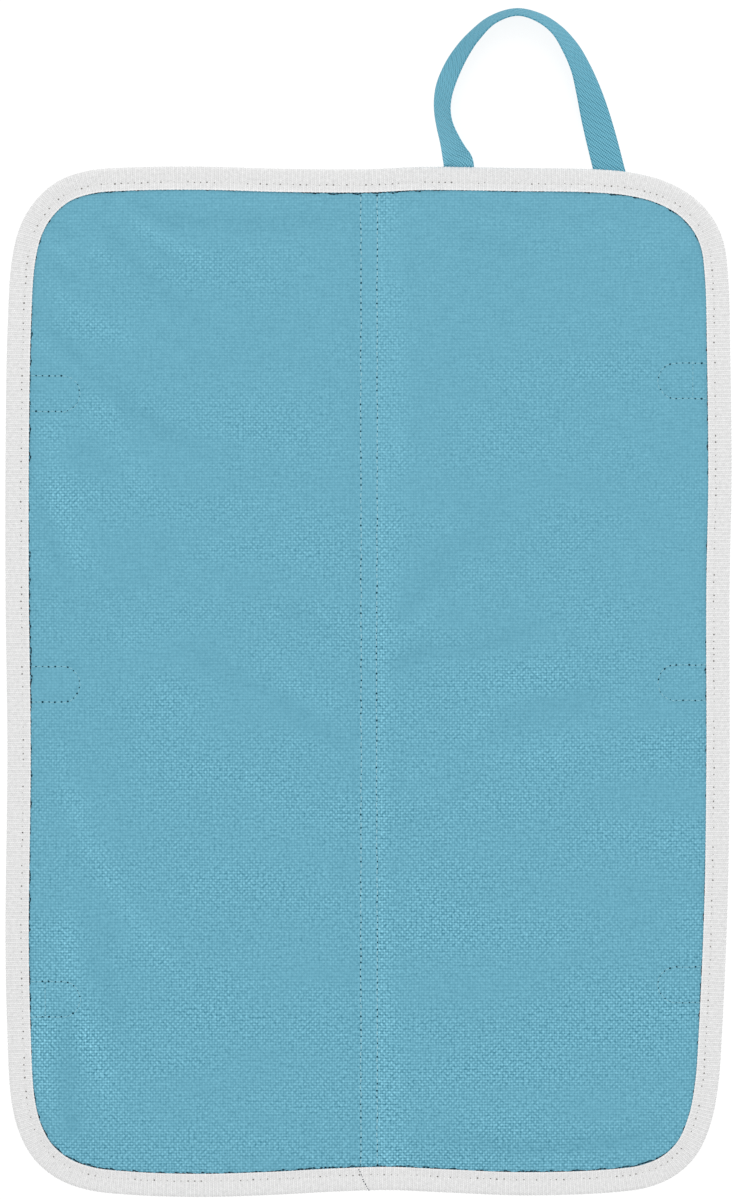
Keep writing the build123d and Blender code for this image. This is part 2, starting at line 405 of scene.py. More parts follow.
def face_height(x, y, up):
    """How far one face stands from the middle of the pad; up is 1 for the top face, -1 below."""
    x, y = np.asarray(x, float), np.asarray(y, float)
    inset, at_edge, at_fold = padding(x, y)
    full = RIM + (CROWN - RIM) * at_edge
    height = SEAM + (full - SEAM) * at_fold
    past_tape = np.clip((inset - TAPE_WIDTH) / PUFF_RUN, 0, 1)
    height += SPINE_PUFF * np.clip(1 - (x / FOLD_X) ** 2, 0, 1) * past_tape
    height += at_edge * at_fold * (ripples(x, y, up)[0] + between(settled[up], x, y))
    groove = np.exp(-((from_pocket_row(x, y) / GROOVE_WIDTH) ** 2))
    height -= GROOVE_DEPTH[up] * groove * at_edge
    if up > 0:
        return height
    # the magnets lie against the under face and hold it out
    for px, py, _ in pockets.values():
        beyond = np.maximum(np.hypot(x - px, y - py) - MAGNET_HOLDS_OUT, 0)
        height = np.maximum(height, CROWN - MAGNET_SLOPE * beyond)
    return np.minimum(height, CROWN)


# The cloth: coarse plain-woven polyester with a thin coating, the same on both faces.
# Weft yarns float over pairs of warp yarns, so it shows rows of flat ovals set like bricks,
# with dark pinholes between them and a slight sheen.
CLOTH_COLOUR = (0.1345, 0.3985, 0.521)
WARP_PITCH = 0.00158
WEFT_PITCH = 0.00168
WEAVE_CONTRAST = 0.345
SLACKER_WEAVE = -1.7
YARN_RELIEF = 0.00014


def weave_waves(tree, uv, pitch_u, pitch_v, shift):
    """The three waves that make up a plain weave's relief, from the piece's own flat map."""
    wander = tree.nodes.new("ShaderNodeTexNoise")
    wander.inputs["Scale"].default_value = 14.0
    wander.inputs["Detail"].default_value = 2.0
    tree.links.new(uv, wander.inputs["Vector"])
    parts = tree.nodes.new("ShaderNodeSeparateXYZ")
    tree.links.new(uv, parts.inputs[0])
    sway = maths(tree, "MULTIPLY_ADD", wander.outputs["Fac"], shift, -shift / 2)
    u = maths(tree, "ADD", parts.outputs["X"], sway)
    v = maths(tree, "ADD", parts.outputs["Y"], sway)
    turn_u = maths(tree, "MULTIPLY", u, math.pi / pitch_u)
    turn_v = maths(tree, "MULTIPLY", v, math.pi / pitch_v)
    crossing = maths(tree, "MULTIPLY", maths(tree, "COSINE", turn_u), maths(tree, "COSINE", turn_v))
    rows = maths(tree, "COSINE", maths(tree, "MULTIPLY", turn_v, 2.0))
    columns = maths(tree, "COSINE", maths(tree, "MULTIPLY", turn_u, 2.0))
    return crossing, rows, columns


def tint(tree, shader, shade, colour, swing):
    """Dyes a shader by its shade, about 1; swing says how much each channel follows the shade."""
    dye = tree.nodes.new("ShaderNodeCombineColor")
    for channel, part, much in zip(("Red", "Green", "Blue"), colour, swing):
        follows = maths(tree, "MULTIPLY_ADD", shade, part * much, part * (1 - much))
        tree.links.new(follows, dye.inputs[channel])
    tree.links.new(dye.outputs["Color"], shader.inputs["Base Color"])


# how strongly the painted highlight and painted shade brighten or darken the cloth's colour
PAINTED_LIGHT_AND_SHADE = 0.032
YARN_TINT = (1.5, 1.0, 0.9)
coated_cloth, shader = new_material("coated_cloth")
tree = coated_cloth.node_tree
uv = tree.nodes.new("ShaderNodeUVMap")
uv.uv_map = "flat"
crossing, rows, columns = weave_waves(tree, uv.outputs["UV"], WARP_PITCH, WEFT_PITCH, 0.0022)


def cloth_noise(scale, detail, turn=0.0):
    """Noise on the flat cloth; scale is how many lumps to the metre, each way."""
    lay = tree.nodes.new("ShaderNodeMapping")
    lay.inputs["Scale"].default_value = (*scale, 1.0)
    lay.inputs["Rotation"].default_value = (0, 0, turn)
    tree.links.new(uv.outputs["UV"], lay.inputs["Vector"])
    noise = tree.nodes.new("ShaderNodeTexNoise")
    noise.inputs["Scale"].default_value = 1.0
    noise.inputs["Detail"].default_value = detail
    tree.links.new(lay.outputs["Vector"], noise.inputs["Vector"])
    return noise.outputs["Fac"]


weft_runs = cloth_noise((90, 600), 2.0)
warp_runs = cloth_noise((640, 70), 2.0)
knots = cloth_noise((560, 560), 3.0)
patches = cloth_noise((9, 26), 3.0, turn=math.radians(42))
# the painted highlight and shade stored on each panel
painted_light_and_shade = tree.nodes.new("ShaderNodeAttribute")
painted_light_and_shade.attribute_name = "painted_light_and_shade"

# the yarns' own relief, its colour contrast raised by the painted highlight along ripples and fold, and
# uneven between
weave = maths(tree, "MULTIPLY", crossing, 0.42)
weave = maths(tree, "MULTIPLY_ADD", rows, 0.30, weave)
weave = maths(tree, "MULTIPLY_ADD", columns, 0.20, weave)
weave = maths(tree, "MULTIPLY_ADD", maths(tree, "SUBTRACT", knots, 0.5), 2.4, weave)
strength = maths(tree, "MULTIPLY_ADD", maths(tree, "SUBTRACT", patches, 0.5), 3.2, 0.9)
strength = maths(tree, "MULTIPLY_ADD", painted_light_and_shade.outputs["Fac"], 0.36, strength)
along = tree.nodes.new("ShaderNodeSeparateXYZ")
tree.links.new(uv.outputs["UV"], along.inputs[0])
from_middle = maths(tree, "ADD", along.outputs["Y"], -PAD_Y)
strength = maths(tree, "MULTIPLY_ADD", from_middle, SLACKER_WEAVE, strength)
strength = maths(tree, "MINIMUM", maths(tree, "MAXIMUM", strength, 0.45), 2.6)
bump = tree.nodes.new("ShaderNodeBump")
bump.inputs["Distance"].default_value = YARN_RELIEF
tree.links.new(weave, bump.inputs["Height"])
tree.links.new(bump.outputs["Normal"], shader.inputs["Normal"])
tree.links.new(maths(tree, "MULTIPLY_ADD", weave, -0.06, 0.52), shader.inputs["Roughness"])
weave = maths(tree, "MULTIPLY", weave, strength)
shade = maths(tree, "MULTIPLY_ADD", weave, WEAVE_CONTRAST, 1.0)
for runs, weight in ((weft_runs, 0.22), (warp_runs, 0.16), (patches, 0.05)):
    shade = maths(tree, "MULTIPLY_ADD", maths(tree, "SUBTRACT", runs, 0.5), weight, shade)
# painted highlight and painted shade added into the cloth's colour
shade = maths(tree, "MULTIPLY_ADD", painted_light_and_shade.outputs["Fac"], PAINTED_LIGHT_AND_SHADE, shade)
tint(tree, shader, shade, CLOTH_COLOUR, YARN_TINT)
shader.inputs["Specular IOR Level"].default_value = 0.3
shader.inputs["Sheen Weight"].default_value = 0.03
shader.inputs["Sheen Roughness"].default_value = 0.4

# The faces of the pad, two panels above and two below, each crossing the fold to its middle.
# Each is one flat cut of cloth, laid over the foam and held by the fold rows and the tape.
CLOTH_THICKNESS = 0.00045
CUT_EDGE_ANGLE = math.radians(40)
CLOTH_INSET = 0.0024
GRID = 0.0021
FINE_GRID_TO = 0.012
HALF_WIDTH, HALF_LENGTH = 0.2265, 0.322


def give_flat_map(made, flat):
    """Stores where each vertex lay in the flat cloth, so that the weave follows the cloth."""
    layer = made.data.uv_layers.new(name="flat")
    corners = np.empty(len(made.data.loops), np.int64)
    made.data.loops.foreach_get("vertex_index", corners)
    layer.data.foreach_set("uv", np.asarray(flat, np.float32)[corners].ravel())


def plain_mesh(made):
    """Turns a piece with modifiers into a plain mesh, shaded smooth but for its cut edges."""
    final = bpy.data.meshes.new_from_object(made.evaluated_get(bpy.context.evaluated_depsgraph_get()))
    made.modifiers.clear()
    made.data = final
    final.set_sharp_from_angle(angle=CUT_EDGE_ANGLE)
    return made


def mark_painted_light_and_shade(made, up):
    """Stores the painted highlight and shade of each place of a panel, along its ripples, the fold and the
    pocket rows.
    """
    count = len(made.data.vertices)
    places = np.empty(count * 3, np.float32)
    made.data.vertices.foreach_get("co", places)
    x, y = places.reshape(-1, 3)[:, 0].astype(float), places.reshape(-1, 3)[:, 1].astype(float)
    painted_light_and_shade = ripples(x, y, up)[1]
    # painted highlight over the fold rows and a band to their right; painted shade in a thin line to their
    # left and along the pocket rows
    painted_highlight_end = 0.0170 + 0.0070 * np.cos((y - 0.126) * 12.5)
    painted_light_and_shade += 0.9 * np.clip((x + 0.0062) / 0.002, 0, 1) * np.clip((0.006 - x) / 0.003, 0, 1)
    painted_light_and_shade += 1.6 * np.clip((x - 0.003) / 0.004, 0, 1) * np.clip((painted_highlight_end + 0.005 - x) / 0.010, 0, 1)
    painted_light_and_shade += 0.9 * np.exp(-(((x - 0.0078) / 0.0022) ** 2))
    painted_light_and_shade -= 0.7 * np.exp(-(((x + 0.0092) / 0.0022) ** 2))
    painted_light_and_shade -= 0.3 * np.exp(-((from_pocket_row(x, y) / 0.0016) ** 2))
    made.data.attributes.new("painted_light_and_shade", "FLOAT", "POINT").data.foreach_set("value", painted_light_and_shade.astype(np.float32))


def panel_grid(side, step, inset):
    """A grid over one half, trimmed and fitted to the cut edge: points and four-cornered cells."""
    near = np.arange(0, FINE_GRID_TO, step / 2)
    across = side * np.concatenate([near, np.arange(FINE_GRID_TO, HALF_WIDTH, step)])
    along = np.arange(PAD_Y - HALF_LENGTH, PAD_Y + HALF_LENGTH + 0.001, step)
    gx, gy = np.meshgrid(across, along)
    distance, nearest = from_edge(gx.ravel(), gy.ravel())
    inside = (distance > inset).reshape(gx.shape)
    cells = inside[:-1, :-1] & inside[1:, :-1] & inside[:-1, 1:] & inside[1:, 1:]
    around = np.zeros(gx.shape, int)
    for dy in (0, 1):
        for dx in (0, 1):
            around[dy:dy + cells.shape[0], dx:dx + cells.shape[1]] += cells
    x, y = gx.ravel().copy(), gy.ravel().copy()
    full = np.full(gx.shape, 4)
    full[:, 0] = 2
    rim = ((around > 0) & (around < full)).ravel()
    fitted = edge[nearest] + inset * edge_inward[nearest]
    x[rim] = np.where(np.abs(gx.ravel()[rim]) > 1e-9, fitted[rim, 0], 0.0)
    y[rim] = fitted[rim, 1]
    quads = grid_cells(np.arange(gx.size).reshape(gx.shape), cells)
    used = np.unique(quads)
    renumber = np.full(gx.size, -1)
    renumber[used] = np.arange(len(used))
    return x[used], y[used], renumber[quads]


def fold_blend(piece):
    """Bakes a piece's placing into its own vertices."""
    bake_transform(piece)


for half_name, side in (("right", 1), ("left", -1)):
    for face, up in (("top", 1), ("under", -1)):
        x, y, quads = panel_grid(side, GRID, CLOTH_INSET)
        height = face_height(x, y, up)
        if side * up < 0:
            quads = quads[:, ::-1]
        points = np.column_stack([x, y, MIDDLE + up * height])
        panel = mesh_object(f"{half_name}_{face}_cloth", points, quads, coated_cloth)
        give_flat_map(panel, np.column_stack([x, y]))
        skin = panel.modifiers.new("thickness", "SOLIDIFY")
        skin.thickness = CLOTH_THICKNESS
        skin.offset = -1
        plain_mesh(panel)
        mark_painted_light_and_shade(panel, up)
        node = "top_cover" if up > 0 else "bottom_cover"
        strip = "spine_top_strip" if up > 0 else "spine_bottom_strip"
        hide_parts(f"{half_name}_{node}", strip)
        fold_blend(panel)

# The padding itself: one sheet of soft foam in each half, under the cloth.
FOAM_GAP = 0.0007
FOAM_GRID = 0.006
FOAM_INSET = 0.006
FOAM_FROM_FOLD = 0.0054
FOAM_LEAST = 0.0002
foam_white, shader = new_material("foam_white")
tree = foam_white.node_tree
cells = tree.nodes.new("ShaderNodeTexVoronoi")
cells.inputs["Scale"].default_value = 900.0
where = tree.nodes.new("ShaderNodeTexCoord")
tree.links.new(where.outputs["Object"], cells.inputs["Vector"])
ramp = tree.nodes.new("ShaderNodeMix")
ramp.data_type = "RGBA"
ramp.inputs["A"].default_value = (0.55, 0.54, 0.48, 1)
ramp.inputs["B"].default_value = (0.80, 0.79, 0.72, 1)
tree.links.new(cells.outputs["Distance"], ramp.inputs["Factor"])
tree.links.new(ramp.outputs["Result"], shader.inputs["Base Color"])
shader.inputs["Roughness"].default_value = 0.95
pits = tree.nodes.new("ShaderNodeBump")
pits.inputs["Distance"].default_value = 0.0004
tree.links.new(cells.outputs["Distance"], pits.inputs["Height"])
tree.links.new(pits.outputs["Normal"], shader.inputs["Normal"])

for half_name, side in (("right", 1), ("left", -1)):
    x, y, quads = panel_grid(side, FOAM_GRID, FOAM_INSET)
    keep_out = FOLD_X + FOAM_FROM_FOLD
    x = np.where(np.abs(x) < keep_out, side * keep_out + (x - side * keep_out) * 0.01, x)
    top = np.maximum(face_height(x, y, 1) - FOAM_GAP, FOAM_LEAST)
    under = np.maximum(face_height(x, y, -1) - FOAM_GAP, FOAM_LEAST)
    count = len(x)
    both = np.vstack([np.column_stack([x, y, MIDDLE + top]), np.column_stack([x, y, MIDDLE - under])])
    rim_edges = {}
    for q in quads:
        for a, b in zip(q, np.roll(q, -1)):
            rim_edges.pop((b, a), None) if (b, a) in rim_edges else rim_edges.setdefault((a, b), True)
    walls = [(b, a, a + count, b + count) for a, b in rim_edges]
    faces = [tuple(q) for q in quads] + [tuple(q[::-1] + count) for q in quads] + walls
    if side < 0:
        faces = [f[::-1] for f in faces]
    foam = mesh_object(f"{half_name}_foam_core", both, faces, foam_white)
    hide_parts(f"{half_name}_foam")
    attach(foam, f"{half_name}_half")

# The magnets: nickel-plated discs, turned and barrelled, one in each stitched pocket.
nickel, shader = new_material("nickel_plate")
tree = nickel.node_tree
grain = tree.nodes.new("ShaderNodeTexNoise")
grain.inputs["Scale"].default_value = 1400.0
where = tree.nodes.new("ShaderNodeTexCoord")
tree.links.new(where.outputs["Object"], grain.inputs["Vector"])
tree.links.new(maths(tree, "MULTIPLY_ADD", grain.outputs["Fac"], 0.2, 0.2), shader.inputs["Roughness"])
shader.inputs["Base Color"].default_value = (0.62, 0.61, 0.58, 1)
shader.inputs["Metallic"].default_value = 1.0
for half_name, place in pockets:
    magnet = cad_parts[f"{half_name}_magnet_{place}"]
    magnet.data.materials.clear()
    magnet.data.materials.append(nickel)

# Sewing thread, and painted shade for the pinholes that the needle leaves: small dark bodies stand
# for the shade inside each hole. Each row is a run of short tight stitches, a pinhole at each end of every
# stitch.
def thread_material(name, colour):
    made, shader = new_material(name)
    tree = made.node_tree
    where = tree.nodes.new("ShaderNodeTexCoord")
    twist = tree.nodes.new("ShaderNodeTexNoise")
    twist.inputs["Scale"].default_value = 2500.0
    tree.links.new(where.outputs["Object"], twist.inputs["Vector"])
    tone = tree.nodes.new("ShaderNodeMix")
    tone.data_type = "RGBA"
    tone.inputs["A"].default_value = (*(c * 0.82 for c in colour), 1)
    tone.inputs["B"].default_value = (*(min(1, c * 1.12) for c in colour), 1)
    tree.links.new(twist.outputs["Fac"], tone.inputs["Factor"])
    tree.links.new(tone.outputs["Result"], shader.inputs["Base Color"])
    shader.inputs["Roughness"].default_value = 0.5
    return made


def pinhole_shade_material(name, colour):
    made, shader = new_material(name)
    tree = made.node_tree
    where = tree.nodes.new("ShaderNodeTexCoord")
    lint = tree.nodes.new("ShaderNodeTexNoise")
    lint.inputs["Scale"].default_value = 700.0
    tree.links.new(where.outputs["Object"], lint.inputs["Vector"])
    tone = tree.nodes.new("ShaderNodeMix")
    tone.data_type = "RGBA"
    tone.inputs["A"].default_value = (*(c * 0.5 for c in colour), 1)
    tone.inputs["B"].default_value = (*(c * 1.5 for c in colour), 1)
    tree.links.new(lint.outputs["Fac"], tone.inputs["Factor"])
    tree.links.new(tone.outputs["Result"], shader.inputs["Base Color"])
    shader.inputs["Roughness"].default_value = 1.0
    shader.inputs["Specular IOR Level"].default_value = 0.0
    return made


blue_thread = thread_material("blue_thread", (0.29, 0.56, 0.65))
white_thread = thread_material("white_thread", (0.80, 0.80, 0.79))
cloth_thread = thread_material("cloth_thread", (0.23, 0.51, 0.61))
# painted shade inside the needle holes, dark blue in the cloth and grey in the tape
blue_pinhole_shade = pinhole_shade_material("blue_pinhole_shade", (0.012, 0.055, 0.08))
grey_pinhole_shade = pinhole_shade_material("grey_pinhole_shade", (0.20, 0.185, 0.175))

needlework = bpy.data.node_groups.new("needlework", "GeometryNodeTree")
sockets = {}
for label, kind, value in (
    ("Row", "NodeSocketGeometry", None), ("Pitch", "NodeSocketFloat", 0.004),
    ("Stitch Length", "NodeSocketFloat", 0.003), ("Thread Width", "NodeSocketFloat", 0.0006),
    ("Thread Height", "NodeSocketFloat", 0.0005), ("Pinhole", "NodeSocketFloat", 0.001),
    ("Wander", "NodeSocketFloat", 0.0001), ("Least Pinhole", "NodeSocketFloat", 0.4),
    ("Seed", "NodeSocketInt", 1), ("Thread", "NodeSocketMaterial", None),
    ("Hole", "NodeSocketMaterial", None),
):
    socket = needlework.interface.new_socket(label, in_out="INPUT", socket_type=kind)
    if value is not None:
        socket.default_value = value
    sockets[label] = socket.identifier
needlework.interface.new_socket("Stitches", in_out="OUTPUT", socket_type="NodeSocketGeometry")


def geo(kind, setting=None, **inputs):
    """Adds a node to the needlework tree; each input is a number or another node's output."""
    node = needlework.nodes.new(kind)
    if setting:
        setattr(node, *setting)
    for label, value in inputs.items():
        named = label.replace("_", " ")
        socket = next(socket for socket in node.inputs if socket.enabled and socket.name == named)
        if isinstance(value, bpy.types.NodeSocket):
            needlework.links.new(value, socket)
        else:
            socket.default_value = value
    return node


given = needlework.nodes.new("NodeGroupInput").outputs
most = geo("ShaderNodeCombineXYZ", X=given["Wander"], Y=given["Wander"])
least = geo("ShaderNodeVectorMath", ("operation", "SCALE"), Vector=most.outputs[0], Scale=-1.0)
wanders = geo("FunctionNodeRandomValue", ("data_type", "FLOAT_VECTOR"), Min=least.outputs[0],
              Max=most.outputs[0], Seed=given["Seed"])
spaced = geo("GeometryNodeResampleCurve", ("mode", "LENGTH"), Curve=given["Row"], Length=given["Pitch"])
moved = geo("GeometryNodeSetPosition", Geometry=spaced.outputs["Curve"], Offset=wanders.outputs["Value"])
tangent = geo("GeometryNodeInputTangent")
along = geo("FunctionNodeAlignRotationToVector", ("axis", "X"), Vector=tangent.outputs["Tangent"])
level = geo("FunctionNodeAlignRotationToVector", ("axis", "Z"), Rotation=along.outputs["Rotation"],
            Vector=(0, 0, 1))
level.pivot_axis = "X"
thread_ball = geo("GeometryNodeMeshUVSphere", Segments=8, Rings=6, Radius=0.5)
thread_size = geo("ShaderNodeCombineXYZ", X=given["Stitch Length"], Y=given["Thread Width"],
                  Z=given["Thread Height"])
hole_ball = geo("GeometryNodeMeshUVSphere", Segments=8, Rings=4, Radius=0.5)
hole_depth = geo("ShaderNodeMath", ("operation", "MULTIPLY"))
needlework.links.new(given["Pinhole"], hole_depth.inputs[0])
hole_depth.inputs[1].default_value = 0.3
hole_size = geo("ShaderNodeCombineXYZ", X=given["Pinhole"], Y=given["Pinhole"], Z=hole_depth.outputs[0])
half_pitch = geo("ShaderNodeMath", ("operation", "MULTIPLY"))
needlework.links.new(given["Pitch"], half_pitch.inputs[0])
half_pitch.inputs[1].default_value = 0.5
thread_place = geo("ShaderNodeCombineXYZ", X=half_pitch.outputs[0])
hole_scale = geo("FunctionNodeRandomValue", Min=given["Least Pinhole"], Max=1.1, Seed=given["Seed"])
hole_sizes = geo("ShaderNodeCombineXYZ", X=hole_scale.outputs[1], Y=hole_scale.outputs[1], Z=1.0)
shapes = (
    (geo("GeometryNodeTransform", Geometry=thread_ball.outputs["Mesh"], Scale=thread_size.outputs[0],
         Translation=thread_place.outputs[0]), (1, 1, 1), "Thread"),
    (geo("GeometryNodeTransform", Geometry=hole_ball.outputs["Mesh"], Scale=hole_size.outputs[0]),
     hole_sizes.outputs[0], "Hole"),
)
result = geo("GeometryNodeJoinGeometry")
for shape, scale, finish in shapes:
    placed = geo("GeometryNodeInstanceOnPoints", Points=moved.outputs["Geometry"],
                 Instance=shape.outputs["Geometry"], Rotation=level.outputs["Rotation"], Scale=scale)
    real = geo("GeometryNodeRealizeInstances", Geometry=placed.outputs["Instances"])
    dyed = geo("GeometryNodeSetMaterial", Geometry=real.outputs["Geometry"], Material=given[finish])
    needlework.links.new(dyed.outputs["Geometry"], result.inputs["Geometry"])
output = needlework.nodes.new("NodeGroupOutput")
needlework.links.new(result.outputs["Geometry"], output.inputs["Stitches"])


def sew(name, rows, thread, hole, seed, **sizes):
    """Sews stitches along each row of points and returns them as one plain mesh."""
    curve = bpy.data.curves.new(name, "CURVE")
    curve.dimensions = "3D"
    for row in rows:
        spline = curve.splines.new("POLY")
        spline.points.add(len(row) - 1)
        spline.points.foreach_set("co", np.column_stack([row, np.ones(len(row))]).ravel())
    carrier = bpy.data.objects.new(name + "_row", curve)
    scene.collection.objects.link(carrier)
    work = carrier.modifiers.new("needlework", "NODES")
    work.node_group = needlework
    work[sockets["Thread"]] = thread
    work[sockets["Hole"]] = hole
    work[sockets["Seed"]] = seed
    for label, value in sizes.items():
        work[sockets[label.replace("_", " ").title()]] = value
    bpy.context.view_layer.update()
    mesh = bpy.data.meshes.new_from_object(carrier.evaluated_get(bpy.context.evaluated_depsgraph_get()))
    bpy.data.objects.remove(carrier)
    mesh.polygons.foreach_set("use_smooth", [True] * len(mesh.polygons))
    made = bpy.data.objects.new(name, mesh)
    scene.collection.objects.link(made)
    return made


def on_face(x, y, up, stand=0.0):
    """Points that lie on one face of the cloth, or stand a little above it."""
    return np.column_stack([x, y, MIDDLE + up * (face_height(x, y, up) + stand)])


# The fold rows: two straight rows down the middle, from tape to tape, through both faces.
FOLD_PITCH = 0.00415
FOLD_ROW_FAR = 0.3017
FOLD_ROW_NEAR = -0.2985
for half_name, side in (("right", 1), ("left", -1)):
    y = np.linspace(PAD_Y + FOLD_ROW_NEAR, PAD_Y + FOLD_ROW_FAR, 400)
    spread = 0.0004 * np.cos((y - PAD_Y) / 0.31 * math.pi) - 0.0003 * np.sin(y * 23)
    x = side * (FOLD_X - spread * (0.5 if side > 0 else 0.2))
    rows = [on_face(x, y, up) for up in (1, -1)]
    row = sew(f"{half_name}_fold_stitches", rows, blue_thread, blue_pinhole_shade, 11 + side,
              pitch=FOLD_PITCH, stitch_length=0.0030, thread_width=0.0009, thread_height=0.0007,
              pinhole=0.0013, wander=0.0002, least_pinhole=0.4)
    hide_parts(f"{half_name}_fold_stitching")
    fold_blend(row)

# The pocket rows: each runs in from the tape, round the magnet and back; two are closed across.
POCKET_PITCH = 0.00385
for half_name, side in (("right", 1), ("left", -1)):
    rows = []
    for place in ("top", "middle", "bottom"):
        px, py, _ = pockets[half_name, place]
        turn = np.linspace(math.pi / 2, 3 * math.pi / 2, 40)
        arc = np.column_stack([np.cos(turn), np.sin(turn)]) * POCKET_RADIUS
        straight = np.linspace(0.020, 0.0005, 16)
        path = np.vstack([
            np.column_stack([straight, np.full(16, POCKET_RADIUS)]), arc,
            np.column_stack([straight[::-1], np.full(16, -POCKET_RADIUS)]),
        ])
        for up in (1, -1):
            rows.append(on_face(px + side * path[:, 0], py + path[:, 1], up))
    row = sew(f"{half_name}_pocket_stitches", rows, cloth_thread, blue_pinhole_shade, 21 + side,
              pitch=POCKET_PITCH, stitch_length=0.0027, thread_width=0.0008, thread_height=0.0006,
              pinhole=0.0015, wander=0.0002, least_pinhole=0.4)
    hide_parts(*(f"{half_name}_pocket_stitching_{place}" for place in ("top", "middle", "bottom")))
    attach(row, f"{half_name}_half")

# A last short row closes one pocket of each half, sewn lightly across once its magnet is in.
CLOSING_X = 0.0105
CLOSING_PITCH = 0.003
for half_name, side, place in (("right", 1, "top"), ("left", -1, "bottom")):
    px, py, _ = pockets[half_name, place]
    y = np.linspace(py - POCKET_RADIUS * 0.9, py + POCKET_RADIUS * 0.9, 12)
    rows = [on_face(np.full(12, px + side * CLOSING_X), y, up) for up in (1, -1)]
    row = sew(f"{half_name}_closing_stitches", rows, cloth_thread, blue_pinhole_shade, 26 + side,
              pitch=CLOSING_PITCH, stitch_length=0.0024, thread_width=0.0007, thread_height=0.0005,
              pinhole=0.0006, wander=0.0001, least_pinhole=0.4)
    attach(row, f"{half_name}_half")

# The carry strap: one length of flat webbing, its ends sewn under the tape, that stands up
# and turns over as it comes round. Stations give across, out from the edge and turn in degrees.
STRAP_WIDTH = 0.0192
STRAP_THICKNESS = 0.0012
STRAP_STEP = 0.0012
STRAP_FLATNESS, STRAP_ROUNDNESS = 0.22, 0.55
LEAN_SCALE = 100
STRAP_STATIONS = [
    (55.6, -13.0, 0), (55.6, -6.0, 0), (55.6, -1.2, 1), (55.2, 3.0, 14), (53.0, 8.4, 36), (50.0, 16.4, 52),
    (46.8, 26.0, 60), (45.4, 34.8, 60), (45.7, 43.0, 57), (47.6, 51.4, 54), (52.3, 62.6, 55),
    (57.7, 71.8, 59), (64.4, 80.4, 64), (76.2, 91.0, 70), (91.4, 95.9, 72), (105.2, 92.4, 69),
    (116.2, 84.8, 64),
    (125.0, 73.2, 54), (131.3, 60.6, 47), (136.0, 46.9, 34), (140.2, 31.9, 19), (144.6, 15.4, 6),
    (148.4, 0.5, 0), (150.0, -6.0, 0), (150.6, -13.0, 0),
]
low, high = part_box("handle_tail_inner")
STRAP_FLOOR = low.z
LOOP_EDGE = PAD_Y + 0.3190

# the turn is divided by LEAN_SCALE so that it hardly counts in the length of a step
strap_line = [(a / 1000, b / 1000 + LOOP_EDGE, math.radians(c) / LEAN_SCALE) for a, b, c in STRAP_STATIONS]
stations = smooth_line(strap_line, STRAP_STEP, closed=False)
centre, lean = stations[:, :2], np.clip(stations[:, 2] * LEAN_SCALE, 0, None)
ahead = np.gradient(centre, axis=0)
ahead /= np.linalg.norm(ahead, axis=1)[:, None]
inside = np.column_stack([ahead[:, 1], -ahead[:, 0], np.zeros(len(ahead))])
wide = inside * np.cos(lean)[:, None] + np.array([0, 0, 1]) * np.sin(lean)[:, None]
through = np.cross(wide, np.column_stack([ahead, np.zeros(len(ahead))]))
height = STRAP_FLOOR + STRAP_WIDTH / 2 * np.sin(lean) + STRAP_THICKNESS / 2 * np.cos(lean)
middle = np.column_stack([centre, height])
run = np.concatenate([[0], np.cumsum(np.linalg.norm(np.diff(middle, axis=0), axis=1))])
section = []
for t in np.linspace(0, 2 * math.pi, 44, endpoint=False):
    c, s = math.cos(t), math.sin(t)
    out_wide = math.copysign(abs(c) ** STRAP_FLATNESS, c) / 2
    section.append((out_wide, math.copysign(abs(s) ** STRAP_ROUNDNESS, s) / 2))
section = np.array(section)
count = len(section)
points = (
    middle[:, None, :]
    + wide[:, None, :] * (section[None, :, 0:1] * STRAP_WIDTH)
    + through[:, None, :] * (section[None, :, 1:2] * STRAP_THICKNESS)
)
flat = np.stack(np.broadcast_arrays(section[None, :, 0] * STRAP_WIDTH, run[:, None]), -1)


def tube_cells(sections, count):
    """Numbered points round each section of a tube, and its four-cornered cells."""
    index = np.arange(sections * count).reshape(-1, count)
    onward = np.roll(index, -1, 1)
    return index, np.stack([index[:-1], onward[:-1], onward[1:], index[1:]], -1).reshape(-1, 4)


def face_outwards(made, split_ends=False):
    """Turns every face of a closed piece outwards."""
    fix = bmesh.new()
    fix.from_mesh(made.data)
    if split_ends:
        bmesh.ops.triangulate(fix, faces=[f for f in fix.faces if len(f.verts) > 4])
    bmesh.ops.recalc_face_normals(fix, faces=fix.faces)
    fix.to_mesh(made.data)
    fix.free()


index, quads = tube_cells(len(points), count)
ends = [tuple(index[0][::-1]), tuple(index[-1])]

WEBBING_COLOUR = (0.141, 0.423, 0.553)
TWILL_ACROSS, TWILL_ALONG = 0.0021, 0.0030
BUMP_ACROSS, BUMP_ALONG = 0.0016, 0.0018
# where the painted light at the near foot ends, and where the painted shade round the turn lies
FOOT_END, FOOT_FADE = 0.055, 0.025
TURN_AT, TURN_RUN = 0.115, 0.045
webbing_blue, shader = new_material("webbing_blue")
tree = webbing_blue.node_tree
uv = tree.nodes.new("ShaderNodeUVMap")
uv.uv_map = "flat"
parts = tree.nodes.new("ShaderNodeSeparateXYZ")
tree.links.new(uv.outputs["UV"], parts.inputs[0])
lie = tree.nodes.new("ShaderNodeTexNoise")
lie.inputs["Scale"].default_value = 90.0
lie.inputs["Detail"].default_value = 3.0
tree.links.new(uv.outputs["UV"], lie.inputs["Vector"])
across = maths(tree, "MULTIPLY_ADD", lie.outputs["Fac"], 0.0010, parts.outputs["X"])
twill = maths(tree, "MULTIPLY", across, 2 * math.pi / TWILL_ACROSS)
twill = maths(tree, "MULTIPLY_ADD", parts.outputs["Y"], 2 * math.pi / TWILL_ALONG, twill)
twill = maths(tree, "COSINE", twill)
bumps = maths(tree, "COSINE", maths(tree, "MULTIPLY", parts.outputs["Y"], 2 * math.pi / BUMP_ALONG))
